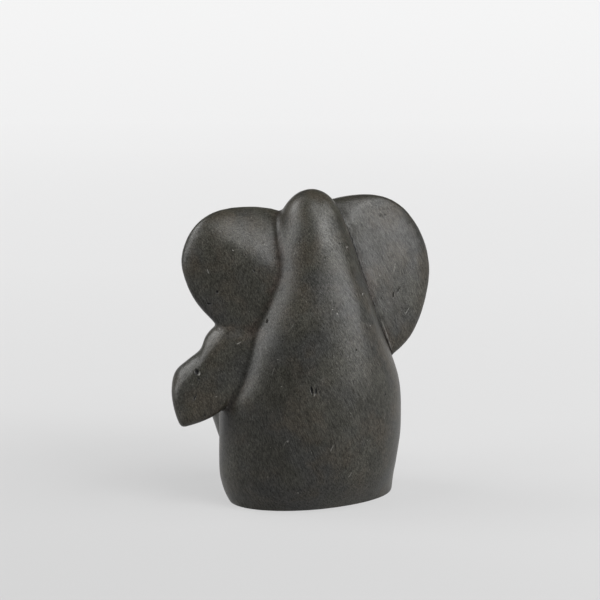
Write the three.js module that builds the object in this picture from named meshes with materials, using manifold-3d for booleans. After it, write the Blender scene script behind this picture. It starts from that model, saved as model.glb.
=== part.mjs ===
// Soapstone carving of a seated mother elephant with her calf leaning out at her left side.
// One stone, so one solid: every mass below is a closed round form, and the masses are joined
// into one body. Millimetres, +Z up. The mother faces -Y, so her left side is +X. The origin is
// on the underside, below her crown.
import * as THREE from "three";
import { mergeVertices } from "three/addons/utils/BufferGeometryUtils.js";
import Module from "manifold-3d";

const wasm = await Module();
wasm.setup();

// ---- Driving dimensions ----
const HEIGHT = 125;
const BASE_HALF_WIDTH = 34.9;
const BASE_HALF_DEPTH = 22.3;
const EAR_SWEEP = 25; // degrees the left-hand plates are swept forward
const EAR_LEAN = 10; // degrees their tops are tipped forward
const LEFT_ROOT = [18.5, 8.3]; // where the left-hand plates' shared middle plane leaves the mantle

// The mother's mantle: her back and flanks, from the underside to the crown.
const MANTLE = {
  crownStart: 100, // above this the section closes as a dome
  // height, half width, half depth, how far the section's middle stands behind the origin and
  // towards her left, and how square its right-hand back quarter is
  stations: [
    [0, BASE_HALF_WIDTH, BASE_HALF_DEPTH, 0.9, -1.4, 0.07],
    [3, 35.7, 25, 0.2, -0.9, 0.05],
    [8, 36.6, 26.9, 1.3, 0, 0.02],
    [14, 37.5, 27.7, 2.6, 0.4, 0],
    [28, 38.1, 29.1, 3.5, 0, 0],
    [44, 37.6, 28.7, 4.4, 0.3, 0],
    [56, 33.5, 27, 5.1, 0.3, 0.08],
    [70, 27.1, 24.2, 5.9, 1.1, 0.2],
    [84, 21.8, 21, 6.2, 0.5, 0.18],
    [98, 17.1, 17.6, 5.8, 0.1, 0.08],
    [112, 15.1, 15.7, 4.5, 0.5, 0.02],
    [HEIGHT, 15.6, 15.2, 4, 0, 0],
  ],
  segments: 52,
  rings: 32,
};

// A plate is an ear: a closed outline of [outwards, up] points about its middle, swollen to a
// rounded slab that is thickest at its peak. A higher blunt makes its face flatter and its rim
// tighter. Past each of its folds it slopes away forwards: a fold crosses the [outwards, up]
// direction `toward` at the distance `start`, and `ease` rounds it.
const MIDDLE = [0, 0];
const MOTHER_LEFT_EAR = {
  side: 1,
  root: LEFT_ROOT,
  rootHeight: 88,
  out: 12.5,
  height: 97,
  sweep: EAR_SWEEP,
  lean: EAR_LEAN,
  halfThick: 5.8,
  blunt: 2.6,
  peak: MIDDLE,
  folds: [
    { toward: [-0.485, 0.874], start: 5, slope: 0.3, ease: 2 },
    { toward: [-0.485, 0.874], start: 15, slope: 0.4, ease: 8 },
  ],
  outline: [
    [23.5, 0], [21.8, 8.6], [17, 15.9], [10.4, 20.4], [0, 22.5], [-14, 21.5], [-26, 14],
    [-24, -14], [-8, -29], [4, -29], [11, -22.8], [19, -13.2],
  ],
  segments: 44, rings: 14,
};
const MOTHER_RIGHT_EAR = {
  side: -1,
  root: [-24, 6.5],
  rootHeight: 88,
  out: 1.9,
  height: 88,
  sweep: 10,
  lean: 4,
  halfThick: 5.5,
  blunt: 5,
  peak: MIDDLE,
  folds: [
    { toward: [-0.5, 0.866], start: 3, slope: 0.16, ease: 12 },
    { toward: [-0.76, 0.65], start: 23.5, slope: 0.65, ease: 3 },
  ],
  outline: [
    [28.2, 1], [27.2, 10.2], [23.3, 19.6], [16.6, 28], [8, 32.5], [-3, 33.5], [-17, 30.4],
    [-27, 22], [-28, 0], [-22, -24], [-4, -35.6], [8.6, -31.6], [17, -25.6], [22.9, -17], [26.5, -7.8],
  ],
  segments: 44, rings: 14,
};
// The calf's crown, shoulder and left ear are one plate, with a crisp lower corner to the ear.
const CALF_LEFT_PLATE = {
  side: 1,
  root: LEFT_ROOT,
  rootHeight: 88,
  out: 23.4,
  height: 51.8,
  sweep: EAR_SWEEP,
  lean: EAR_LEAN,
  halfThick: 5.6,
  blunt: 3.4,
  peak: [6, -9],
  folds: [{ toward: [0.75, 0.66], start: 8.2, slope: 0.65, ease: 2 }],
  outline: [
    [16.3, -3], [15, 3.2], [9.8, 8], [5, 12], [3.4, 16.5], [0, 20.5], [-8, 24.5], [-19, 19], [-17, 4],
    [-9, -5], [-3.6, -11.8], [2, -15.5], [9, -18], [12.2, -18.6], [13.6, -16.4], [15.6, -10],
  ],
  segments: 48, rings: 12,
};
const CALF_RIGHT_EAR = {
  side: -1,
  root: [26, -14],
  rootHeight: 52,
  out: 6,
  height: 52,
  sweep: 30,
  lean: 0,
  halfThick: 4,
  blunt: 2.8,
  peak: MIDDLE,
  folds: [],
  outline: [[10, 0], [8, 7], [0, 10], [-8, 6], [-9, -4], [-1, -12], [6, -12], [9.4, -6]],
  segments: 24, rings: 10,
};

// A limb is a round bar along a path, with its half thickness at each point of the path.
const MOTHER_FACE = {
  path: [
    [0, 6, 118], [0, 3.4, 107], [0, -0.4, 94], [0, -8.5, 79], [-1, -17.5, 63], [-2, -25, 46],
    [0, -29.8, 31], [8, -32.5, 21.5],
  ],
  girth: [9.5, 13.4, 14.4, 13.2, 10.8, 8.8, 7.4, 6],
  segments: 24, rings: 32,
};
const CALF_BODY = {
  path: [[7, -25, -10], [8, -25, 4], [11.5, -25, 14], [19, -21.5, 29], [27.3, -13.5, 43], [33, -5, 60]],
  girth: [12.6, 13, 13, 12, 10.6, 8],
  segments: 24, rings: 20,
};
const CALF_FACE = {
  path: [[34, -3, 66], [33.8, -7.5, 59], [32.2, -15, 51], [28, -22, 42], [22, -28, 33], [15, -33, 27]],
  girth: [5.5, 8.6, 8.4, 6.6, 5.2, 4.2],
  segments: 18, rings: 20,
};

// ---- Shaping helpers ----

// Moves every vertex of a closed geometry to place(vertex).
function placed(geometry, place) {
  const position = geometry.getAttribute("position");
  const vertex = new THREE.Vector3();
  for (let i = 0; i < position.count; i++) {
    place(vertex.fromBufferAttribute(position, i));
    position.setXYZ(i, vertex.x, vertex.y, vertex.z);
  }
  return geometry;
}

// A unit sphere whose poles lie on Z.
function unitSphere(segments, rings) {
  return new THREE.SphereGeometry(1, segments, rings).rotateX(Math.PI / 2);
}

// A closed geometry as a solid, with its faces turned outwards.
function solid(geometry) {
  const bare = geometry.clone();
  bare.deleteAttribute("normal");
  bare.deleteAttribute("uv");
  const merged = mergeVertices(bare, 1e-3);
  const made = new wasm.Manifold(
    new wasm.Mesh({
      numProp: 3,
      vertProperties: new Float32Array(merged.attributes.position.array),
      triVerts: new Uint32Array(merged.index.array),
    }),
  );
  if (made.volume() < 0) throw new Error("a mass is inside out");
  return made;
}

// The value at height z of one column of a table of stations, smoothed between them.
function stationAt(stations, column, z) {
  const curve = new THREE.SplineCurve(stations.map((s) => new THREE.Vector2(s[0], s[column])));
  let low = 0;
  let high = 1;
  for (let i = 0; i < 40; i++) {
    const middle = (low + high) / 2;
    if (curve.getPoint(middle).x < z) low = middle;
    else high = middle;
  }
  return curve.getPoint((low + high) / 2).y;
}

// ---- Masses ----

function mantle({ crownStart, stations, segments, rings }) {
  const profile = [new THREE.Vector2(0, 0)];
  for (let i = 0; i <= rings; i++) {
    const z = (HEIGHT * (1 - Math.cos((Math.PI * i) / rings))) / 2;
    profile.push(new THREE.Vector2(i === rings ? 0 : 1, z));
  }
  const geometry = new THREE.LatheGeometry(profile, segments).rotateX(Math.PI / 2);
  return placed(geometry, (v) => {
    const closing = Math.max(0, (v.z - crownStart) / (HEIGHT - crownStart));
    const dome = Math.sqrt(Math.max(0, 1 - closing * closing));
    const inQuarter = v.x < 0 && v.y > 0;
    const power = inQuarter ? 1 - Math.max(0, stationAt(stations, 5, v.z)) : 1;
    const across = Math.sign(v.x) * Math.abs(v.x) ** power;
    const behind = Math.sign(v.y) * Math.abs(v.y) ** power;
    v.x = across * stationAt(stations, 1, v.z) * dome + stationAt(stations, 4, v.z);
    v.y = behind * stationAt(stations, 2, v.z) * dome + stationAt(stations, 3, v.z);
  });
}

// How far forwards a fold carries the point [across, up] of a plate.
function foldDepth({ toward, start, slope, ease }, across, up) {
  const past = across * toward[0] + up * toward[1] - start;
  return (slope * (past + Math.hypot(past, ease))) / 2;
}

function plate(shape) {
  const { side, root, rootHeight, out, height, sweep, lean, halfThick, blunt, peak } = shape;
  const corners = shape.outline.map(([across, up]) => new THREE.Vector3(across, 0, up));
  const rim = new THREE.CatmullRomCurve3(corners, true);
  return placed(new THREE.SphereGeometry(1, shape.segments, shape.rings), (v) => {
    const turn = Math.atan2(v.z, v.x * side) / (2 * Math.PI);
    const edge = rim.getPointAt((turn + 1) % 1);
    const reach = Math.hypot(v.x, v.z) ** (2 / blunt);
    const across = peak[0] + reach * (edge.x - peak[0]);
    const up = peak[1] + reach * (edge.z - peak[1]);
    const through = Math.sign(v.y) * Math.abs(v.y) ** (2 / blunt) * halfThick;
    const forwards = shape.folds.reduce((sum, fold) => sum + foldDepth(fold, across, up), 0);
    v.set(side * (out + across), through - forwards, height - rootHeight + up);
  })
    .rotateX(THREE.MathUtils.degToRad(lean))
    .rotateZ(-side * THREE.MathUtils.degToRad(sweep))
    .translate(root[0], root[1], rootHeight);
}

function limb({ path, girth, segments, rings }) {
  const curve = new THREE.CatmullRomCurve3(path.map((p) => new THREE.Vector3(...p)));
  const thickness = new THREE.SplineCurve(girth.map((g, i) => new THREE.Vector2(i, g)));
  const sideways = new THREE.Vector3(1, 0, 0);
  return placed(unitSphere(segments, rings), (v) => {
    const along = (1 - v.z) / 2;
    const around = Math.atan2(v.y, v.x);
    const closing = Math.sqrt(Math.max(0, 1 - v.z ** 4));
    const radius = thickness.getPoint(along).y * closing;
    const tangent = curve.getTangent(along);
    const side = sideways.clone().addScaledVector(tangent, -sideways.dot(tangent)).normalize();
    const front = new THREE.Vector3().crossVectors(tangent, side);
    v.copy(curve.getPoint(along))
      .addScaledVector(side, radius * Math.cos(around))
      .addScaledVector(front, -radius * Math.sin(around));
  });
}

// ---- The carving ----
const masses = [
  mantle(MANTLE),
  plate(MOTHER_LEFT_EAR),
  plate(MOTHER_RIGHT_EAR),
  limb(MOTHER_FACE),
  plate(CALF_LEFT_PLATE),
  plate(CALF_RIGHT_EAR),
  limb(CALF_BODY),
  limb(CALF_FACE),
];
const underside = [[0, 0, 1], 0];
const stone = masses
  .map(solid)
  .reduce((whole, mass) => whole.add(mass))
  .trimByPlane(...underside);
const { vertProperties, triVerts } = stone.getMesh();
const geometry = new THREE.BufferGeometry()
  .setAttribute("position", new THREE.BufferAttribute(vertProperties, 3))
  .setIndex(new THREE.BufferAttribute(triVerts, 1));

const soapstone = new THREE.MeshStandardMaterial({ color: 0x45443f, roughness: 0.5, metalness: 0 });
const carving = new THREE.Mesh(geometry, soapstone);
carving.name = "elephant_and_calf";
const part = new THREE.Group();
part.add(carving);

export default part;
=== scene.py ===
"""Looks for a polished soapstone carving of a seated elephant with her calf, cut from one stone."""

import logging
import math
import random
from dataclasses import dataclass, field
from enum import Enum
from functools import lru_cache

import bmesh
import bpy
from mathutils import Matrix, Vector, noise
from mathutils.bvhtree import BVHTree
from mathutils.kdtree import KDTree


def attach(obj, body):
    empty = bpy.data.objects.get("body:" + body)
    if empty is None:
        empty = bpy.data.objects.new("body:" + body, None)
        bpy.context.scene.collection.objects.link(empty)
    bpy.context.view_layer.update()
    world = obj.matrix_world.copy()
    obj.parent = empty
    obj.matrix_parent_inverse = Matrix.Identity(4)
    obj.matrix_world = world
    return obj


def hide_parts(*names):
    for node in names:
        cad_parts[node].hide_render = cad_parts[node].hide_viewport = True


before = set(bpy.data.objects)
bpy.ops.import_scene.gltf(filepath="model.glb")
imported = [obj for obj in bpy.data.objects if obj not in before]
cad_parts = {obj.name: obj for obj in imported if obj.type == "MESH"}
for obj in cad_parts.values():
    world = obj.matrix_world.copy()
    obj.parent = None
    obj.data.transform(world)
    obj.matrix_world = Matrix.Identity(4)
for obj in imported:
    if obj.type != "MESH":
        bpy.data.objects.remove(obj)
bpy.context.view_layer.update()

MM = 0.001
FOOT_SPARE = 4.0  # how far the masses run on below the underside before it is sawn off
NODE = "elephant_and_calf"
BODY = "root"

logger = logging.getLogger("carving")

Point = tuple[float, ...]
Span = tuple[float, float]
Place = tuple[float, float, float]
Colour = tuple[float, float, float]


# ---- Curves ----


def spread(a: Vector, b: Vector) -> float:
    """The centripetal spacing between two points of a curve."""
    return max((b - a).length ** 0.5, 1e-4)


def curve_point(points: list[Vector], share: float, closed: bool) -> Vector:
    """A point on the smooth centripetal curve through the given points.

    Args:
        points: The points that the curve passes through.
        share: How far along, from 0 to 1, with the same share for each stretch.
        closed: Whether the curve runs back to its first point.

    Returns:
        The point on the curve.
    """
    count = len(points)
    spans = count if closed else count - 1
    place = min(max(share, 0.0), 1.0) * spans
    first = min(int(place), spans - 1)
    part = place - first
    if closed:
        p0, p1, p2, p3 = (points[(first + k) % count] for k in (-1, 0, 1, 2))
    else:
        p1, p2 = points[first], points[first + 1]
        p0 = points[first - 1] if first else p1 + (p1 - p2)
        p3 = points[first + 2] if first + 2 < count else p2 + (p2 - p1)
    d0, d1, d2 = spread(p0, p1), spread(p1, p2), spread(p2, p3)
    leave = ((p1 - p0) / d0 - (p2 - p0) / (d0 + d1) + (p2 - p1) / d1) * d1
    arrive = ((p2 - p1) / d1 - (p3 - p1) / (d1 + d2) + (p3 - p2) / d2) * d1
    bend = -3 * p1 + 3 * p2 - 2 * leave - arrive
    turn = 2 * p1 - 2 * p2 + leave + arrive
    return p1 + leave * part + bend * part**2 + turn * part**3


def even_curve(values: list[Point], share: float) -> tuple[float, ...]:
    """A row between the rows of a table, smoothed, with the same share for each step.

    Args:
        values: The table's rows, all of one length.
        share: How far along the table, from 0 to 1.

    Returns:
        The smoothed row.
    """
    last = len(values) - 1
    place = min(max(share, 0.0), 1.0) * last
    first = min(int(place), last - 1)
    part = place - first
    rows = [values[min(max(first + k, 0), last)] for k in (-1, 0, 1, 2)]
    found = []
    for a, b, c, d in zip(*rows):
        leave, arrive = (c - a) / 2, (d - b) / 2
        found.append(
            (2 * b - 2 * c + leave + arrive) * part**3
            + (-3 * b + 3 * c - 2 * leave - arrive) * part**2
            + leave * part
            + b
        )
    return tuple(found)


# ---- Masses ----


def gather(masses: list["Mantle | Plate | Limb"]) -> bmesh.types.BMesh:
    """Lays closed masses together in one mesh, in millimetres.

    Args:
        masses: The masses, each of which shapes a mesh of its own.

    Returns:
        The mesh, in which the masses still overlap.
    """
    together = bmesh.new()
    for mass in masses:
        shaped = mass.shape()
        parcel = bpy.data.meshes.new("parcel")
        shaped.to_mesh(parcel)
        shaped.free()
        together.from_mesh(parcel)
        bpy.data.meshes.remove(parcel)
    return together


@dataclass(frozen=True)
class Mantle:
    """A seated elephant's back and flanks, from the underside to the crown.

    Each station holds the height, half width, half depth, how far the section's middle stands
    back and to her left, all in millimetres, and how square its right-hand back quarter is.
    The skin takes the given share of the rings, and the foot takes the rest.
    """

    height: float
    crown_start: float
    stations: tuple[Point, ...]
    segments: int = 128
    rings: int = 96
    skin_share: float = 0.92
    halvings: int = 40

    @lru_cache(maxsize=None)
    def section(self, z: float) -> Point:
        """The smoothed station at height z."""
        low, high = 0.0, 1.0
        for _ in range(self.halvings):
            middle = (low + high) / 2
            if even_curve(self.stations, middle)[0] < z:
                low = middle
            else:
                high = middle
        return even_curve(self.stations, (low + high) / 2)

    def shape(self) -> bmesh.types.BMesh:
        """Draws a round form out into the mantle, whose foot runs on below the underside."""
        bm = bmesh.new()
        bmesh.ops.create_uvsphere(
            bm, u_segments=self.segments, v_segments=self.rings, radius=1.0
        )
        for vertex in bm.verts:
            turn = math.atan2(vertex.co.y, vertex.co.x)
            down = math.acos(min(max(vertex.co.z, -1.0), 1.0)) / math.pi
            if down <= self.skin_share:
                z = self.height * (1 + math.cos(math.pi * down / self.skin_share)) / 2
                vertex.co = self.place(turn, z, 1.0)
            else:
                vertex.co = self.place(turn, 0.0, (1 - down) / (1 - self.skin_share))
                vertex.co.z = -FOOT_SPARE
        return bm

    def place(self, turn: float, z: float, share: float) -> Vector:
        """A point of the mantle.

        Args:
            turn: The bearing about the section's middle.
            z: The height.
            share: How far out towards the skin the point is, from 0 to 1.

        Returns:
            The point.
        """
        _, half_width, half_depth, back, left, square = self.section(round(z, 6))
        closing = max(0.0, (z - self.crown_start) / (self.height - self.crown_start))
        reach = math.sqrt(max(0.0, 1 - closing * closing)) * share
        across, behind = math.cos(turn), math.sin(turn)
        if across < 0 < behind:
            across = -((-across) ** (1 - square))
            behind = behind ** (1 - square)
        return Vector((
            across * half_width * reach + left,
            behind * half_depth * reach + back,
            z,
        ))


class Side(Enum):
    """Which of an elephant's sides a plate grows from."""

    LEFT = 1
    RIGHT = -1


@dataclass(frozen=True)
class Fold:
    """A bend across a plate, past which the plate slopes away forwards.

    The bend crosses the direction (out, up), at the distance `start` from the plate's middle.
    """

    out: float
    up: float
    start: float
    slope: float
    ease: float = 3.0

    def depth(self, across: float, up: float) -> float:
        """How far forwards the fold carries a point of the plate."""
        past = across * self.out + up * self.up - self.start
        return self.slope * (past + math.hypot(past, self.ease)) / 2


@dataclass(frozen=True)
class Plate:
    """A thick rounded slab such as an ear.

    The outline is a ring of (outwards, up) points about the plate's middle, in millimetres.
    The slab is thickest at its peak.
    """

    side: Side
    root: tuple[float, float]
    root_height: float
    out: float
    height: float
    sweep: float
    lean: float
    half_thick: float
    blunt: float
    outline: tuple[tuple[float, float], ...]
    peak: tuple[float, float] = (0.0, 0.0)
    folds: tuple[Fold, ...] = ()
    segments: int = 128
    rings: int = 48
    trail_points: int = 1200

    def rim(self) -> list[Vector]:
        """The outline at even distances, one point for each segment, starting outwards."""
        corners = [Vector((across, 0, up)) for across, up in self.outline]
        fine = self.trail_points
        trail = [curve_point(corners, k / fine, True) for k in range(fine + 1)]
        walked = [0.0]
        for a, b in zip(trail, trail[1:]):
            walked.append(walked[-1] + (b - a).length)
        found, index = [], 0
        for k in range(self.segments):
            goal = walked[-1] * k / self.segments
            while walked[index + 1] < goal:
                index += 1
            part = (goal - walked[index]) / (walked[index + 1] - walked[index])
            found.append(trail[index].lerp(trail[index + 1], part))
        return found

    def shape(self) -> bmesh.types.BMesh:
        """Swells a round form out to the outline and sets it in its place."""
        bm = bmesh.new()
        bmesh.ops.create_uvsphere(
            bm, u_segments=self.segments, v_segments=self.rings, radius=1.0
        )
        rim = self.rim()
        power = 2 / self.blunt
        for vertex in bm.verts:
            x, z, y = vertex.co
            turn = math.atan2(z, x * self.side.value) / math.tau % 1.0
            edge = rim[round(turn * self.segments) % self.segments]
            reach = math.hypot(x, z) ** power
            across = self.peak[0] + reach * (edge.x - self.peak[0])
            up = self.peak[1] + reach * (edge.z - self.peak[1])
            swell = math.copysign(abs(y) ** power, y) * self.half_thick
            vertex.co = (
                self.side.value * (self.out + across),
                swell - sum(fold.depth(across, up) for fold in self.folds),
                self.height - self.root_height + up,
            )
        turned = Matrix.Translation((*self.root, self.root_height))
        turned @= Matrix.Rotation(-self.side.value * math.radians(self.sweep), 4, "Z")
        turned @= Matrix.Rotation(math.radians(self.lean), 4, "X")
        bmesh.ops.transform(bm, matrix=turned, verts=bm.verts)
        return bm


@dataclass(frozen=True)
class Limb:
    """A round bar along a path, such as a trunk, with its half thickness at each point."""

    path: tuple[Point, ...]
    girth: tuple[float, ...]
    segments: int = 64
    rings: int = 72
    tangent_step: float = 1e-3

    def shape(self) -> bmesh.types.BMesh:
        """Bends a round form along the path."""
        bm = bmesh.new()
        bmesh.ops.create_uvsphere(
            bm, u_segments=self.segments, v_segments=self.rings, radius=1.0
        )
        points = [Vector(p) for p in self.path]
        girths = [(g,) for g in self.girth]
        stations: dict[float, tuple[Vector, Vector, Vector, float]] = {}
        for vertex in bm.verts:
            z = round(vertex.co.z, 6)
            if z not in stations:
                along = (1 - z) / 2
                ahead = curve_point(points, along + self.tangent_step, False)
                behind = curve_point(points, along - self.tangent_step, False)
                tangent = (ahead - behind).normalized()
                sideways = Vector((1, 0, 0)) - tangent * tangent.x
                sideways.normalize()
                radius = even_curve(girths, along)[0] * math.sqrt(max(0.0, 1 - z**4))
                middle = curve_point(points, along, False)
                stations[z] = (middle, sideways, tangent.cross(sideways), radius)
            middle, sideways, front, radius = stations[z]
            around = math.atan2(vertex.co.y, vertex.co.x)
            vertex.co = (
                middle
                + sideways * (radius * math.cos(around))
                - front * (radius * math.sin(around))
            )
        return bm


EAR_SWEEP = 25.0
EAR_LEAN = 10.0
LEFT_ROOT = (18.5, 8.3)


@dataclass(frozen=True)
class Mother:
    """The seated cow: a smooth legless mantle, two broad ears, and a face and trunk in one."""

    mantle: Mantle = Mantle(
        height=125.0,
        crown_start=100.0,
        stations=(
            (0, 34.9, 22.3, 0.9, -1.4, 0.07),
            (3, 35.7, 25, 0.2, -0.9, 0.05),
            (8, 36.6, 26.9, 1.3, 0, 0.02),
            (14, 37.5, 27.7, 2.6, 0.4, 0),
            (28, 38.1, 29.1, 3.5, 0, 0),
            (44, 37.6, 28.7, 4.4, 0.3, 0),
            (56, 33.5, 27, 5.1, 0.3, 0.08),
            (70, 27.1, 24.2, 5.9, 1.1, 0.2),
            (84, 21.8, 21, 6.2, 0.5, 0.18),
            (98, 17.1, 17.6, 5.8, 0.1, 0.08),
            (112, 15.1, 15.7, 4.5, 0.5, 0.02),
            (125, 15.6, 15.2, 4, 0, 0),
        ),
    )
    left_ear: Plate = Plate(
        Side.LEFT, LEFT_ROOT, 88, 12.5, 97, EAR_SWEEP, EAR_LEAN, 5.8, 2.6,
        (
            (23.5, 0), (21.8, 8.6), (17, 15.9), (10.4, 20.4), (0, 22.5), (-14, 21.5), (-26, 14),
            (-24, -14), (-8, -29), (4, -29), (11, -22.8), (19, -13.2),
        ),
        folds=(
            Fold(out=-0.485, up=0.874, start=5, slope=0.3, ease=2),
            Fold(out=-0.485, up=0.874, start=15, slope=0.4, ease=8),
        ),
    )
    right_ear: Plate = Plate(
        Side.RIGHT, (-24, 6.5), 88, 1.9, 88, 10, 4, 5.5, 5,
        (
            (28.2, 1), (27.2, 10.2), (23.3, 19.6), (16.6, 28), (8, 32.5), (-3, 33.5), (-17, 30.4),
            (-27, 22), (-28, 0), (-22, -24), (-4, -35.6), (8.6, -31.6), (17, -25.6),
            (22.9, -17), (26.5, -7.8),
        ),
        folds=(
            Fold(out=-0.5, up=0.866, start=3, slope=0.16, ease=12),
            Fold(out=-0.76, up=0.65, start=23.5, slope=0.65),
        ),
    )
    face: Limb = Limb(
        (
            (0, 6, 118), (0, 3.4, 107), (0, -0.4, 94), (0, -8.5, 79), (-1, -17.5, 63),
            (-2, -25, 46), (0, -29.8, 31), (8, -32.5, 21.5),
        ),
        (9.5, 13.4, 14.4, 13.2, 10.8, 8.8, 7.4, 6),
    )

    def masses(self) -> list[Mantle | Plate | Limb]:
        """The cow's four masses."""
        return [self.mantle, self.left_ear, self.right_ear, self.face]


@dataclass(frozen=True)
class Calf:
    """The calf: a cone that leans out from her foot, with its crown and left ear in one plate."""

    left_plate: Plate = Plate(
        Side.LEFT, LEFT_ROOT, 88, 23.4, 51.8, EAR_SWEEP, EAR_LEAN, 5.6, 3.4,
        (
            (16.3, -3), (15, 3.2), (9.8, 8), (5, 12), (3.4, 16.5), (0, 20.5), (-8, 24.5), (-19, 19),
            (-17, 4), (-9, -5), (-3.6, -11.8), (2, -15.5), (9, -18), (12.2, -18.6),
            (13.6, -16.4), (15.6, -10),
        ),
        peak=(6, -9),
        folds=(Fold(out=0.75, up=0.66, start=8.2, slope=0.65, ease=2),),
    )
    right_ear: Plate = Plate(
        Side.RIGHT, (26, -14), 52, 6, 52, 30, 0, 4, 2.8,
        ((10, 0), (8, 7), (0, 10), (-8, 6), (-9, -4), (-1, -12), (6, -12), (9.4, -6)),
    )
    body: Limb = Limb(
        (
            (7, -25, -10), (8, -25, 4), (11.5, -25, 14), (19, -21.5, 29), (27.3, -13.5, 43),
            (33, -5, 60),
        ),
        (12.6, 13, 13, 12, 10.6, 8),
    )
    face: Limb = Limb(
        (
            (34, -3, 66), (33.8, -7.5, 59), (32.2, -15, 51), (28, -22, 42), (22, -28, 33),
            (15, -33, 27),
        ),
        (5.5, 8.6, 8.4, 6.6, 5.2, 4.2),
    )

    def masses(self) -> list[Plate | Limb]:
        """The calf's four masses."""
        return [self.left_plate, self.right_ear, self.body, self.face]


# ---- Marks on the surface ----


class MarkKind(Enum):
    """What a mark on the stone is, or a patch of painted shade, with how dark and how pale it
    leaves the surface.
    """

    PIT = (1.0, 0.0)
    NICK = (0.0, 0.4)
    LINE = (0.7, 0.0)
    SCRATCH = (0.0, 0.36)
    SCUFF = (0.0, 0.2)
    # A dark patch of painted shade, for a groove that lies in shade.
    PAINTED_SHADE = (0.28, 0.0)


@dataclass(frozen=True)
class Mark:
    """A pit, nick or scratch, or a patch of painted shade, in millimetres.

    Its direction is the way its long side runs, and its place is the nearest point of the stone.
    """

    kind: MarkKind
    place: Place
    length: float
    width: float
    depth: float
    direction: Place = (0.0, 0.0, 1.0)

    def aside(self, point: Vector) -> float:
        """How far a point lies to the side of the mark's long axis."""
        offset = point - Vector(self.place)
        along = Vector(self.direction).normalized()
        return (offset - along * offset.dot(along)).length


CHIPS = (
    Mark(MarkKind.PIT, (12.7, 31.4, 50.7), 3.9, 1.1, 0.7, (0.15, 0, 1)),
    Mark(MarkKind.PIT, (11.1, 31.8, 50.3), 3.4, 0.9, 0.5, (-0.15, 0, 1)),
    Mark(MarkKind.NICK, (11.5, 31.6, 48.8), 1.6, 0.6, 0.2, (-0.6, 0, 1)),
    Mark(MarkKind.LINE, (9.7, 32.1, 49.6), 2.4, 0.7, 0.25, (-0.2, 0, 1)),
    Mark(MarkKind.PIT, (49.9, 5.6, 56.2), 2.6, 2.0, 0.8, (0.2, 0, 1)),
    Mark(MarkKind.NICK, (49.0, 6.0, 55.6), 2.2, 0.9, 0.3, (-0.3, 0, 1)),
    Mark(MarkKind.LINE, (51.2, 6.9, 46.4), 3.6, 0.8, 0.35, (0.6, 0, -1)),
    Mark(MarkKind.PIT, (24.5, 14.9, 75.9), 1.8, 1.1, 0.4, (0, 0, 1)),
    Mark(MarkKind.PIT, (40.2, 3.6, 86.6), 1.4, 1.3, 0.4),
    Mark(MarkKind.PIT, (43.1, 2.2, 81.9), 2.2, 1.0, 0.35, (1, 0, 0)),
    Mark(MarkKind.SCRATCH, (42.8, 0.9, 94.6), 2.4, 0.6, 0.15, (0.5, 0, 1)),
    Mark(MarkKind.PIT, (-32.1, 7.0, 113.6), 1.0, 0.9, 0.35),
    Mark(MarkKind.PIT, (-30.1, 7.5, 113.4), 0.9, 0.7, 0.3),
    Mark(MarkKind.LINE, (-36.1, 9.6, 82.8), 2.6, 0.8, 0.3, (-0.6, 0, 1)),
    Mark(MarkKind.LINE, (-33.5, 10.2, 81.1), 2.8, 0.8, 0.3, (-0.2, 0, 1)),
    Mark(MarkKind.NICK, (0.3, 28.7, 79.4), 0.8, 0.6, 0.2),
    Mark(MarkKind.NICK, (2.2, 28.1, 81.0), 0.7, 0.6, 0.2),
    Mark(MarkKind.NICK, (33.9, 10.1, 67.1), 2.4, 0.6, 0.2, (-1, 0, 0.4)),
    Mark(MarkKind.NICK, (37.9, 8.1, 42.4), 1.6, 0.7, 0.2, (0, 0, 1)),
    Mark(MarkKind.PIT, (-21.1, 28.3, 44.9), 1.3, 1.0, 0.35),
    Mark(MarkKind.SCRATCH, (4.4, 32.1, 27.1), 4.0, 0.4, 0.1, (-0.5, 0, 1)),
    Mark(MarkKind.SCRATCH, (-4.5, 30.0, 14.7), 3.5, 0.4, 0.1, (-0.6, 0, 1)),
    Mark(MarkKind.SCRATCH, (-12.6, 15.6, 109.8), 3.6, 0.5, 0.12, (-0.8, 0, 1)),
    Mark(MarkKind.SCRATCH, (-34.8, 10.0, 92.0), 5.0, 0.4, 0.08, (-0.35, 0, 1)),
    Mark(MarkKind.SCRATCH, (-40.2, 9.4, 74.0), 4.0, 0.4, 0.08, (-0.9, 0, 1)),
    Mark(MarkKind.SCRATCH, (-28.3, 11.6, 69.3), 6.4, 0.7, 0.0, (0.39, 0, 1)),
    Mark(MarkKind.SCRATCH, (-30.0, 11.1, 65.0), 6.4, 0.7, 0.0, (0.39, 0, 1)),
    Mark(MarkKind.SCRATCH, (-31.6, 10.5, 60.9), 6.4, 0.7, 0.0, (0.39, 0, 1)),
    # Painted shade in the valley between the cow's left ear and the calf's plate.
    Mark(MarkKind.PAINTED_SHADE, (35.5, 8.5, 70.5), 11.0, 4.6, 0.1, (1, 0, -0.1)),
)


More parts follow.
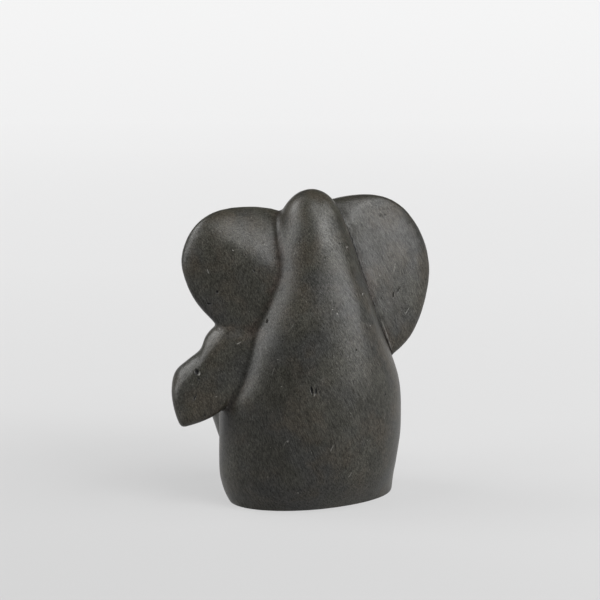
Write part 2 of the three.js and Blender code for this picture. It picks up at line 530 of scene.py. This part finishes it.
@dataclass
class Relief:
    """Fine relief cut into the stone's skin: hand-worked unevenness, then the marks.

    Lengths are in millimetres. The skin is split once for each margin round a mark.
    """

    chips: tuple[Mark, ...] = CHIPS
    flat_below: float = 0.5
    swell_height: float = 0.16
    swell_length: float = 17.0
    ripple_height: float = 0.045
    ripple_length: float = 5.5
    ripple_shift: Place = (7, 3, 5)
    stray_pits: int = 46
    pit_field: tuple[Span, ...] = ((-70, 70), (-60, 60), (6, 122))
    pit_share: float = 0.65
    pit_size: Span = (0.4, 0.75)
    pit_stretch: Span = (1.0, 2.2)
    pit_lean: Span = (-0.6, 0.6)
    pit_least_depth: float = 0.16
    pit_depth_share: float = 0.14
    stray_scratches: int = 26
    scratch_field: tuple[Span, ...] = ((-60, 60), (-45, 45), (10, 118))
    scratch_lean: tuple[Span, ...] = ((-1.2, 0.4), (-0.4, 0.4))
    scratch_length: Span = (2.0, 4.5)
    scratch_width: float = 0.35
    scratch_depth: float = 0.04
    seed: int = 11
    margins: tuple[float, ...] = (1.3, 0.6)
    press_margin: float = 0.6
    ragged: float = 0.25
    ragged_pitch: float = 2.2
    dish_power: float = 1.5
    tint_gain: float = 2.2

    def stray(self, tree: BVHTree) -> list[Mark]:
        """Small pits and faint scratches scattered all round the stone.

        Args:
            tree: The stone's skin.

        Returns:
            The marks, on the skin.
        """
        draw = random.Random(self.seed)
        found = []
        while len(found) < self.stray_pits:
            start = Vector([draw.uniform(*span) for span in self.pit_field])
            place, _, _, _ = tree.find_nearest(start)
            size = draw.uniform(*self.pit_size)
            kind = MarkKind.PIT if draw.random() < self.pit_share else MarkKind.NICK
            long = size * draw.uniform(*self.pit_stretch)
            lean = (draw.uniform(*self.pit_lean), 0.0, 1.0)
            depth = self.pit_least_depth + self.pit_depth_share * size
            found.append(Mark(kind, tuple(place), long, size, depth, lean))
        for _ in range(self.stray_scratches):
            start = Vector([draw.uniform(*span) for span in self.scratch_field])
            place, _, _, _ = tree.find_nearest(start)
            lean = (*(draw.uniform(*span) for span in self.scratch_lean), 1.0)
            long = draw.uniform(*self.scratch_length)
            found.append(Mark(
                MarkKind.SCUFF, tuple(place), long, self.scratch_width, self.scratch_depth, lean
            ))
        return found

    def cut(self, bm: bmesh.types.BMesh) -> None:
        """Works the relief into a closed mesh in millimetres, and notes where it is dark or pale.

        Args:
            bm: The stone's skin.
        """
        bm.normal_update()
        for vertex in bm.verts:
            if vertex.co.z > self.flat_below:
                swell = noise.noise(vertex.co / self.swell_length)
                ripple = noise.noise(
                    vertex.co / self.ripple_length + Vector(self.ripple_shift)
                )
                push = swell * self.swell_height + ripple * self.ripple_height
                vertex.co += vertex.normal * push
        marks = [*self.chips, *self.stray(BVHTree.FromBMesh(bm))]
        self.refine(bm, marks)
        self.press(bm, marks)

    @staticmethod
    def points_near(bm: bmesh.types.BMesh) -> KDTree:
        """A tree that finds the points of a mesh by place."""
        tree = KDTree(len(bm.verts))
        for vertex in bm.verts:
            tree.insert(vertex.co, vertex.index)
        tree.balance()
        return tree

    def refine(self, bm: bmesh.types.BMesh, marks: list[Mark]) -> None:
        """Splits the faces round each mark, so that it has enough points to be cut from."""
        for margin in self.margins:
            bm.verts.ensure_lookup_table()
            bm.verts.index_update()
            tree = self.points_near(bm)
            near = set()
            for mark in marks:
                reach = mark.length / 2 + margin
                found = {
                    index
                    for point, index, _ in tree.find_range(Vector(mark.place), reach)
                    if mark.aside(point) < mark.width / 2 + margin
                }
                for index in found:
                    for edge in bm.verts[index].link_edges:
                        if edge.other_vert(bm.verts[index]).index in found:
                            near.add(edge)
            bmesh.ops.subdivide_edges(bm, edges=list(near), cuts=1, use_grid_fill=True)
        many = [face for face in bm.faces if len(face.verts) > 4]
        bmesh.ops.triangulate(bm, faces=many)

    def press(self, bm: bmesh.types.BMesh, marks: list[Mark]) -> None:
        """Presses the marks into the skin and tints the points under them.

        Args:
            bm: The stone's skin.
            marks: The marks.
        """
        dark = bm.verts.layers.float.new("dark")
        pale = bm.verts.layers.float.new("pale")
        bm.verts.ensure_lookup_table()
        bm.verts.index_update()
        skin = BVHTree.FromBMesh(bm)
        points = self.points_near(bm)
        for mark in marks:
            place, normal, _, _ = skin.find_nearest(Vector(mark.place))
            along = Vector(mark.direction)
            along = (along - normal * along.dot(normal)).normalized()
            across = normal.cross(along)
            dark_share, pale_share = mark.kind.value
            reach = mark.length / 2 + self.press_margin
            for _, index, _ in points.find_range(place, reach):
                vertex = bm.verts[index]
                offset = vertex.co - place
                wobble = self.ragged * noise.noise(vertex.co * self.ragged_pitch)
                u = offset.dot(along) / (mark.length / 2)
                v = offset.dot(across) / (mark.width / 2)
                far = math.sqrt(u * u + v * v) + wobble
                if far >= 1.0:
                    continue
                share = (1 - max(far, 0.0) ** 2) ** self.dish_power
                vertex.co -= normal * (mark.depth * share)
                tint = min(1.0, share * self.tint_gain)
                vertex[dark] = max(vertex[dark], dark_share * tint)
                vertex[pale] = max(vertex[pale], pale_share * tint)


# ---- Finish ----


@dataclass(frozen=True)
class Pattern:
    """A noise pattern on the piece's own coordinates.

    It holds the repeats for each metre, how many finer layers there are and how strong they are,
    each axis's share of the scale, and the pattern's turn about the Y axis, in radians.
    """

    scale: float
    detail: float
    rough: float
    squeeze: Place = (1, 1, 1)
    lean: float = 0


@dataclass(frozen=True)
class Range:
    """A range of a value, and the range that it is mapped to and held at."""

    low: float
    high: float
    new_low: float
    new_high: float


@dataclass(frozen=True)
class Roughening:
    """How strongly and how deeply, in metres, a pattern roughens the surface."""

    strength: float
    distance: float


@dataclass(frozen=True)
class Soapstone:
    """Waxed grey-green soapstone: slate, olive and warm patches, buffing lines, uneven polish, and
    painted shade in the creases.
    """

    dark_tone: Colour = (0.0136, 0.0130, 0.0104)
    mid_tone: Colour = (0.0188, 0.0181, 0.0145)
    light_tone: Colour = (0.0262, 0.0252, 0.0203)
    warm_tone: Colour = (0.034, 0.0268, 0.0228)
    olive_tone: Colour = (0.0178, 0.0174, 0.0112)
    slate_tone: Colour = (0.0172, 0.0171, 0.0157)
    pit_tone: Colour = (0.004, 0.004, 0.004)
    bruise_tone: Colour = (0.24, 0.235, 0.215)
    refraction: float = 1.5

    clouds: Pattern = Pattern(60, 2, 0.5, (1, 1, 0.8))
    mottle: Pattern = Pattern(280, 3, 0.5, (1, 1, 0.7))
    grain: Pattern = Pattern(2500, 2, 0.8)
    lines: Pattern = Pattern(2300, 3, 0.7, (1, 1, 0.2), 0.38)
    scuffs: Pattern = Pattern(1500, 3, 0.7, (1, 1, 0.12), 0.55)
    olive_patches: Pattern = Pattern(75, 2, 0.5)
    slate_patches: Pattern = Pattern(50, 2, 0.5, lean=0.8)
    warm_patches: Pattern = Pattern(75, 3, 0.6)
    fleck_spots: Pattern = Pattern(1100, 1, 0.5)

    tone_stops: tuple[float, float, float] = (0.36, 0.5, 0.64)
    mottle_in_tone: float = 0.3
    olive_share: Range = Range(0.5, 0.66, 0.0, 0.7)
    slate_share: Range = Range(0.48, 0.64, 0.0, 0.9)
    warm_share: Range = Range(0.46, 0.64, 0.0, 1.0)
    warm_in_crease: Range = Range(0.05, 0.7, 0.36, 0.8)
    grain_contrast: Range = Range(0.34, 0.66, 0.55, 1.45)
    line_contrast: Range = Range(0.34, 0.66, 0.5, 1.5)
    fleck_share: Range = Range(0.77, 0.80, 0.0, 0.3)
    pale_share: float = 0.8
    # Painted shade: creases are darkened, and their right-facing sides more so.
    painted_crease_shade: Range = Range(0.4, 1.0, 1.0, 0.65)
    painted_side_shade: Range = Range(0.0, 0.25, 1.0, 0.42)

    lines_in_gloss: float = 0.65
    gloss: Range = Range(0.36, 0.64, 0.30, 0.43)
    pit_dullness: float = 0.4
    lines_in_polish: float = 0.5
    mottle_in_polish: float = 0.12
    polish: Range = Range(0.36, 0.64, 0.10, 0.36)

    tooth: Roughening = Roughening(0.35, 0.00010)
    streaks: Roughening = Roughening(0.42, 0.00010)
    dimples: Roughening = Roughening(0.17, 0.00030)

    def material(self) -> bpy.types.Material:
        """Makes the material's nodes.

        Returns:
            The finished material.
        """
        made = bpy.data.materials.new("soapstone")
        made.use_nodes = True
        tree = made.node_tree
        tree.nodes.clear()
        out = tree.nodes.new("ShaderNodeOutputMaterial")
        shader = tree.nodes.new("ShaderNodeBsdfPrincipled")
        shader.inputs["IOR"].default_value = self.refraction
        tree.links.new(shader.outputs["BSDF"], out.inputs["Surface"])
        desk = Desk(tree, tree.nodes.new("ShaderNodeTexCoord").outputs["Object"])
        mottle, grain, lines = (desk.noise(p) for p in (self.mottle, self.grain, self.lines))
        hollow, dark = desk.attribute("hollow"), desk.attribute("dark")
        # Painted shade in the creases, laid on both the colour and the strength of the reflections.
        shadow = desk.multiply(
            desk.stretch(hollow, self.painted_crease_shade),
            desk.stretch(desk.attribute("shade"), self.painted_side_shade),
        )

        stone = self.tones(desk, mottle, hollow)
        grained = desk.multiply_colour(stone, desk.stretch(grain, self.grain_contrast))
        lined = desk.multiply_colour(grained, desk.stretch(lines, self.line_contrast))
        flecks = desk.stretch(desk.noise(self.fleck_spots), self.fleck_share)
        flecked = desk.mix(lined, self.bruise_tone, flecks)
        pale = desk.multiply(desk.attribute("pale"), self.pale_share)
        bruised = desk.mix(flecked, self.bruise_tone, pale)
        # The dark number holds the pits and the patch of painted shade; the painted crease shade is
        # laid on too.
        pitted_and_shaded = desk.mix(desk.multiply_colour(bruised, shadow), self.pit_tone, dark)
        tree.links.new(pitted_and_shaded, shader.inputs["Base Color"])

        rubbed = desk.blend_values(mottle, lines, self.lines_in_gloss)
        worn = desk.add(
            desk.stretch(rubbed, self.gloss), desk.multiply(dark, self.pit_dullness)
        )
        tree.links.new(worn, shader.inputs["Roughness"])

        scuffed = desk.blend_values(desk.noise(self.scuffs), lines, self.lines_in_polish)
        buffed = desk.blend_values(scuffed, mottle, self.mottle_in_polish)
        # The painted shade also dims the reflections in the creases.
        polish = desk.multiply(desk.stretch(buffed, self.polish), shadow)
        tree.links.new(polish, shader.inputs["Specular IOR Level"])

        tooth = desk.bump(grain, self.tooth)
        streaks = desk.bump(lines, self.streaks, tooth)
        dimples = desk.bump(mottle, self.dimples, streaks)
        tree.links.new(dimples, shader.inputs["Normal"])
        return made

    def tones(
        self, desk: "Desk", mottle: bpy.types.NodeSocket, hollow: bpy.types.NodeSocket
    ) -> bpy.types.NodeSocket:
        """Lays out the stone's broad colours.

        Args:
            desk: The desk that the nodes are laid out on.
            mottle: The pattern of the mottling.
            hollow: How deep the surface lies in a crease.

        Returns:
            The cloudy stone with its slate, olive and warm patches.
        """
        tones = (self.dark_tone, self.mid_tone, self.light_tone)
        body = desk.ramp(
            desk.blend_values(desk.noise(self.clouds), mottle, self.mottle_in_tone),
            list(zip(self.tone_stops, tones)),
        )
        slate = desk.stretch(desk.noise(self.slate_patches), self.slate_share)
        olive = desk.stretch(desk.noise(self.olive_patches), self.olive_share)
        greened = desk.mix(desk.mix(body, self.slate_tone, slate), self.olive_tone, olive)
        warmth = desk.multiply(
            desk.stretch(hollow, self.warm_in_crease),
            desk.stretch(desk.noise(self.warm_patches), self.warm_share),
        )
        return desk.mix(greened, self.warm_tone, warmth)


@dataclass
class Desk:
    """Short calls for laying out a material's nodes."""

    tree: bpy.types.NodeTree
    coords: bpy.types.NodeSocket

    def noise(self, pattern: Pattern) -> bpy.types.NodeSocket:
        """Adds a noise pattern on the piece's own coordinates.

        Args:
            pattern: The pattern's scale, layers and direction.

        Returns:
            The pattern's value, from 0 to 1.
        """
        mapping = self.tree.nodes.new("ShaderNodeMapping")
        mapping.vector_type = "TEXTURE"
        mapping.inputs["Rotation"].default_value = (0, pattern.lean, 0)
        mapping.inputs["Scale"].default_value = [1 / share for share in pattern.squeeze]
        self.tree.links.new(self.coords, mapping.inputs["Vector"])
        node = self.tree.nodes.new("ShaderNodeTexNoise")
        node.inputs["Scale"].default_value = pattern.scale
        node.inputs["Detail"].default_value = pattern.detail
        node.inputs["Roughness"].default_value = pattern.rough
        self.tree.links.new(mapping.outputs["Vector"], node.inputs["Vector"])
        return node.outputs["Fac"]

    def attribute(self, name: str) -> bpy.types.NodeSocket:
        """Reads a number kept on the piece's points."""
        node = self.tree.nodes.new("ShaderNodeAttribute")
        node.attribute_name = name
        return node.outputs["Fac"]

    def stretch(self, value: bpy.types.NodeSocket, span: Range) -> bpy.types.NodeSocket:
        """Maps one range of a value to another, and holds it at the ends."""
        node = self.tree.nodes.new("ShaderNodeMapRange")
        node.inputs["From Min"].default_value = span.low
        node.inputs["From Max"].default_value = span.high
        node.inputs["To Min"].default_value = span.new_low
        node.inputs["To Max"].default_value = span.new_high
        self.tree.links.new(value, node.inputs["Value"])
        return node.outputs["Result"]

    def arithmetic(
        self, operation: str, a: bpy.types.NodeSocket, b: bpy.types.NodeSocket | float
    ) -> bpy.types.NodeSocket:
        """Works one sum on two values."""
        node = self.tree.nodes.new("ShaderNodeMath")
        node.operation = operation
        self.tree.links.new(a, node.inputs[0])
        if isinstance(b, (int, float)):
            node.inputs[1].default_value = b
        else:
            self.tree.links.new(b, node.inputs[1])
        return node.outputs["Value"]

    def multiply(
        self, a: bpy.types.NodeSocket, b: bpy.types.NodeSocket | float
    ) -> bpy.types.NodeSocket:
        """Multiplies two values."""
        return self.arithmetic("MULTIPLY", a, b)

    def add(
        self, a: bpy.types.NodeSocket, b: bpy.types.NodeSocket | float
    ) -> bpy.types.NodeSocket:
        """Adds two values."""
        return self.arithmetic("ADD", a, b)

    def blend_values(
        self, a: bpy.types.NodeSocket, b: bpy.types.NodeSocket, share: float
    ) -> bpy.types.NodeSocket:
        """Mixes two values, with the given share of the second."""
        return self.add(self.multiply(a, 1 - share), self.multiply(b, share))

    def ramp(
        self, value: bpy.types.NodeSocket, stops: list[tuple[float, Point]]
    ) -> bpy.types.NodeSocket:
        """Turns a value into a colour between the given stops."""
        node = self.tree.nodes.new("ShaderNodeValToRGB")
        elements = node.color_ramp.elements
        while len(elements) < len(stops):
            elements.new(0.5)
        for element, (place, colour) in zip(elements, stops):
            element.position = place
            element.color = (*colour, 1.0)
        self.tree.links.new(value, node.inputs["Fac"])
        return node.outputs["Color"]

    def mix(
        self, colour: bpy.types.NodeSocket, other: Point, share: bpy.types.NodeSocket
    ) -> bpy.types.NodeSocket:
        """Lays a plain colour over another by a share."""
        node = self.tree.nodes.new("ShaderNodeMix")
        node.data_type = "RGBA"
        self.tree.links.new(share, node.inputs[0])
        self.tree.links.new(colour, node.inputs[6])
        node.inputs[7].default_value = (*other, 1.0)
        return node.outputs[2]

    def multiply_colour(
        self, colour: bpy.types.NodeSocket, value: bpy.types.NodeSocket
    ) -> bpy.types.NodeSocket:
        """Makes a colour darker or lighter by a value."""
        node = self.tree.nodes.new("ShaderNodeVectorMath")
        node.operation = "SCALE"
        self.tree.links.new(colour, node.inputs[0])
        self.tree.links.new(value, node.inputs["Scale"])
        return node.outputs["Vector"]

    def bump(
        self,
        height: bpy.types.NodeSocket,
        relief: Roughening,
        under: bpy.types.NodeSocket | None = None,
    ) -> bpy.types.NodeSocket:
        """Roughens the surface by a pattern, on top of another one where it is given."""
        node = self.tree.nodes.new("ShaderNodeBump")
        node.inputs["Strength"].default_value = relief.strength
        node.inputs["Distance"].default_value = relief.distance
        self.tree.links.new(height, node.inputs["Height"])
        if under:
            self.tree.links.new(under, node.inputs["Normal"])
        return node.outputs["Normal"]


# ---- The carving ----


def ease(bm: bmesh.types.BMesh, rounds: int) -> None:
    """Moves every point halfway to the middle of its neighbours, once for each round."""
    for _ in range(rounds):
        bmesh.ops.smooth_vert(
            bm, verts=bm.verts, factor=0.5, use_axis_x=True, use_axis_y=True, use_axis_z=True
        )


@dataclass
class Carving:
    """The one stone: both elephants fused, smoothed, cut with fine relief and dressed.

    Lengths are in millimetres. Painted shade darkens the creases' right-facing sides from the given
    turn on, and the right-hand creases are cut deeper from the given distance right of the middle
    on.
    """

    mother: Mother = field(default_factory=Mother)
    calf: Calf = field(default_factory=Calf)
    relief: Relief = field(default_factory=Relief)
    finish: Soapstone = field(default_factory=Soapstone)
    cell: float = 0.8
    easing: int = 5
    hollow_easing: int = 70
    hollow_depth: float = 0.55
    hollow_fill: float = 0.6
    hollow_cut: float = 0.6
    cut_from: float = 6.0
    cut_span: float = 6.0
    shade_from: float = 0.32
    shade_span: float = 0.2
    weld: float = 1e-4

    def masses(self) -> bpy.types.Object:
        """Builds the separate closed masses as one object, in millimetres.

        Returns:
            The object, which runs on a little below the underside.
        """
        bm = gather([*self.mother.masses(), *self.calf.masses()])
        bmesh.ops.remove_doubles(bm, verts=bm.verts, dist=self.weld)
        for vertex in bm.verts:
            vertex.co.z = max(vertex.co.z, -FOOT_SPARE)
        bmesh.ops.recalc_face_normals(bm, faces=bm.faces)
        mesh = bpy.data.meshes.new("soapstone_elephant_with_calf")
        bm.to_mesh(mesh)
        bm.free()
        stone = bpy.data.objects.new("soapstone_elephant_with_calf", mesh)
        bpy.context.scene.collection.objects.link(stone)
        return stone

    def fuse(self, stone: bpy.types.Object) -> None:
        """Fuses the masses into one closed skin of even cells."""
        round_off = stone.modifiers.new("round_off", "SUBSURF")
        round_off.levels = round_off.render_levels = 1
        remesh = stone.modifiers.new("fuse", "REMESH")
        remesh.mode = "VOXEL"
        remesh.voxel_size = self.cell
        remesh.use_smooth_shade = True
        fused = bpy.data.meshes.new_from_object(
            stone.evaluated_get(bpy.context.evaluated_depsgraph_get())
        )
        stone.modifiers.clear()
        rough = stone.data
        stone.data = fused
        bpy.data.meshes.remove(rough)
        fused.name = stone.name

    def note_hollows(self, bm: bmesh.types.BMesh) -> None:
        """Keeps how deep each point lies in a crease, and how far it faces right while it does.

        Both run from 0 to 1. The left creases are filled, and the right ones cut deeper.
        """
        hollow = bm.verts.layers.float.new("hollow")
        shade = bm.verts.layers.float.new("shade")
        eased = bm.copy()
        ease(eased, self.hollow_easing)
        bm.normal_update()
        for vertex, soft in zip(bm.verts, eased.verts):
            depth = (soft.co - vertex.co).dot(vertex.normal)
            vertex[hollow] = min(max(depth / self.hollow_depth, 0.0), 1.0)
            # The shade number marks crease points that face right, for painted shade on those
            # sides.
            turned = min(max((-vertex.normal.x - self.shade_from) / self.shade_span, 0.0), 1.0)
            vertex[shade] = vertex[hollow] * turned
            if depth > 0:
                past = -(vertex.co.x + self.cut_from) / self.cut_span
                rightwards = min(max(past, 0.0), 1.0)
                fill = self.hollow_fill if vertex.co.x > 0 else -self.hollow_cut * rightwards
                vertex.co += (soft.co - vertex.co) * fill
        eased.free()

    def saw_underside(self, bm: bmesh.types.BMesh) -> None:
        """Cuts the stone off flat at height zero, with a crisp edge."""
        everything = [*bm.verts, *bm.edges, *bm.faces]
        cut = bmesh.ops.bisect_plane(
            bm, geom=everything, dist=self.weld,
            plane_co=(0, 0, 0), plane_no=(0, 0, 1), clear_inner=True,
        )
        rim = [item for item in cut["geom_cut"] if isinstance(item, bmesh.types.BMEdge)]
        bmesh.ops.holes_fill(bm, edges=rim, sides=0)
        for edge in rim:
            edge.smooth = False

    def build(self) -> bpy.types.Object:
        """Builds the finished stone in metres, riding on its body.

        Returns:
            The finished piece.
        """
        stone = self.masses()
        self.fuse(stone)
        bm = bmesh.new()
        bm.from_mesh(stone.data)
        ease(bm, self.easing)
        self.note_hollows(bm)
        self.saw_underside(bm)
        self.relief.cut(bm)
        bmesh.ops.recalc_face_normals(bm, faces=bm.faces)
        bmesh.ops.scale(bm, vec=(MM, MM, MM), verts=bm.verts)
        for face in bm.faces:
            face.smooth = True
        bm.to_mesh(stone.data)
        bm.free()
        stone.data.materials.clear()
        stone.data.materials.append(self.finish.material())
        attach(stone, BODY)
        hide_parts(NODE)
        return stone


# ---- Studio ----


def stand_back(
    made: bpy.types.Object, aim: Place, bearing: float, rise: float, distance: float
) -> None:
    """Stands a light or camera back from a point, and turns it to face the point.

    Args:
        made: The light or camera.
        aim: The point that it faces, in metres.
        bearing: Where it stands, in degrees round from the front towards her left.
        rise: How far above level it stands, in degrees.
        distance: How far back it stands, in metres.
    """
    turn, lift = math.radians(bearing), math.radians(rise)
    away = Vector((
        math.sin(turn) * math.cos(lift), -math.cos(turn) * math.cos(lift), math.sin(lift)
    ))
    place = Vector(aim) + away * distance
    facing = away.to_track_quat("Z", "Y").to_matrix().to_4x4()
    made.matrix_world = Matrix.Translation(place) @ facing


@dataclass(frozen=True)
class Softbox:
    """A rectangular studio light, aimed at a point.

    Distances are in metres, angles in degrees and the power in watts.
    """

    name: str
    bearing: float
    rise: float
    power: float
    distance: float = 2.5
    width: float = 1.05
    tall: float = 0.9
    aim: Place = (0.0, 0.0, 0.065)

    def hang(self) -> None:
        """Hangs the light."""
        lamp = bpy.data.lights.new(self.name, "AREA")
        lamp.shape = "RECTANGLE"
        lamp.size = self.width
        lamp.size_y = self.tall
        lamp.energy = self.power
        made = bpy.data.objects.new(self.name, lamp)
        bpy.context.scene.collection.objects.link(made)
        stand_back(made, self.aim, self.bearing, self.rise, self.distance)


@dataclass
class Studio:
    """A paper floor with a painted glow that grows with distance, the softboxes and the camera.

    Distances are in metres and angles in degrees. The lens and sensor are in millimetres.
    """

    bearing: float = 155.0
    rise: float = 10.0
    distance: float = 0.667
    lens: float = 100.0
    sensor: float = 36.0
    aim: Place = (0.00254, -0.00118, 0.0799)
    floor_half: float = 14.0
    floor_back: float = 2.2
    sweep_radius: float = 0.9
    sweep_steps: int = 40
    paper: Colour = (0.09, 0.09, 0.09)
    paper_roughness: float = 0.8
    paper_polish: float = 0.1
    paper_middle: Place = (0.308, 0.187, 0.0)
    paper_reach: float = 3.2
    paper_tint: Colour = (1.0, 1.0, 1.002)
    paper_glow: tuple[Span, ...] = (
        (0.02, 0.42), (0.10, 0.48), (0.14, 0.54), (0.28, 0.62), (0.62, 0.74), (1.0, 0.82),
    )
    room_glow: float = 0.03
    room_colour: Colour = (0.96, 0.98, 1.0)
    boxes: tuple[Softbox, ...] = (
        Softbox("right_high", 205, 38, 52),
        Softbox("right_low", 223, 12, 38.5),
        Softbox("right_back", 243, 42, 24),
        Softbox("front_high", 183, 65, 26),
        Softbox("front_middle", 183, 40, 17),
        Softbox("left_middle", 93, 35, 26.5),
        Softbox("left_low", 75, 15, 28),
        Softbox("left_back", 55, 45, 42),
    )

    def lay_floor(self) -> None:
        """Lays the pale floor, and curves it up behind the stone."""
        bm = bmesh.new()
        bmesh.ops.create_grid(bm, x_segments=1, y_segments=1, size=self.floor_half)
        far_side = [vertex for vertex in bm.verts if vertex.co.y > 0]
        for vertex in far_side:
            vertex.co.y = self.floor_back
        far_edge = [edge for edge in bm.edges if set(edge.verts) == set(far_side)]
        bmesh.ops.spin(
            bm, geom=far_side + far_edge, cent=(0, self.floor_back, self.sweep_radius),
            axis=(1, 0, 0), angle=math.pi / 2, steps=self.sweep_steps,
        )
        bmesh.ops.rotate(
            bm, verts=bm.verts, matrix=Matrix.Rotation(math.radians(self.bearing), 3, "Z")
        )
        bmesh.ops.recalc_face_normals(bm, faces=bm.faces)
        for face in bm.faces:
            face.smooth = True
        mesh = bpy.data.meshes.new("floor")
        bm.to_mesh(mesh)
        bm.free()
        floor = bpy.data.objects.new("floor", mesh)
        bpy.context.scene.collection.objects.link(floor)
        mesh.materials.append(self.paper_sheet())

    def paper_sheet(self) -> bpy.types.Material:
        """Makes the floor's paper, lit mostly by a painted glow that grows with the distance from
        its middle, so that it is darker near the stone.

        Returns:
            The material.
        """
        paper = bpy.data.materials.new("glowing_paper")
        paper.use_nodes = True
        tree = paper.node_tree
        shader = tree.nodes["Principled BSDF"]
        shader.inputs["Base Color"].default_value = (*self.paper, 1)
        shader.inputs["Roughness"].default_value = self.paper_roughness
        shader.inputs["Specular IOR Level"].default_value = self.paper_polish
        shader.inputs["Emission Strength"].default_value = 1.0
        coords = tree.nodes.new("ShaderNodeTexCoord").outputs["Object"]
        desk = Desk(tree, coords)
        far = tree.nodes.new("ShaderNodeVectorMath")
        far.operation = "DISTANCE"
        far.inputs[1].default_value = self.paper_middle
        tree.links.new(coords, far.inputs[0])
        reach = desk.stretch(far.outputs["Value"], Range(0.0, self.paper_reach, 0.0, 1.0))
        # Painted light: the floor glows, dimmest round a point near the stone and brighter far off,
        # in place of the floor's shading.
        stops = [
            (place, tuple(glow * share for share in self.paper_tint))
            for place, glow in self.paper_glow
        ]
        tree.links.new(desk.ramp(reach, stops), shader.inputs["Emission Color"])
        return paper

    def light(self) -> None:
        """Hangs the softboxes and fills the room with even light."""
        for box in self.boxes:
            box.hang()
        world = bpy.data.worlds.new("room")
        world.use_nodes = True
        sky = world.node_tree.nodes["Background"]
        sky.inputs["Strength"].default_value = self.room_glow
        sky.inputs["Color"].default_value = (*self.room_colour, 1)
        bpy.context.scene.world = world
        bpy.context.scene.view_settings.view_transform = "Standard"

    def place_camera(self) -> None:
        """Places the camera and looks through it."""
        lens = bpy.data.cameras.new("camera")
        lens.lens = self.lens
        lens.sensor_width = self.sensor
        camera = bpy.data.objects.new("camera", lens)
        bpy.context.scene.collection.objects.link(camera)
        stand_back(camera, self.aim, self.bearing, self.rise, self.distance)
        bpy.context.scene.camera = camera


def main() -> None:
    """Builds the stone and the studio."""
    logging.basicConfig(level=logging.INFO, format="%(name)s: %(message)s")
    studio = Studio()
    studio.place_camera()
    studio.lay_floor()
    studio.light()
    stone = Carving().build()
    triangles = sum(len(face.vertices) - 2 for face in stone.data.polygons)
    logger.info("%s: %d triangles", stone.name, triangles)


if __name__ == "__main__":
    main()
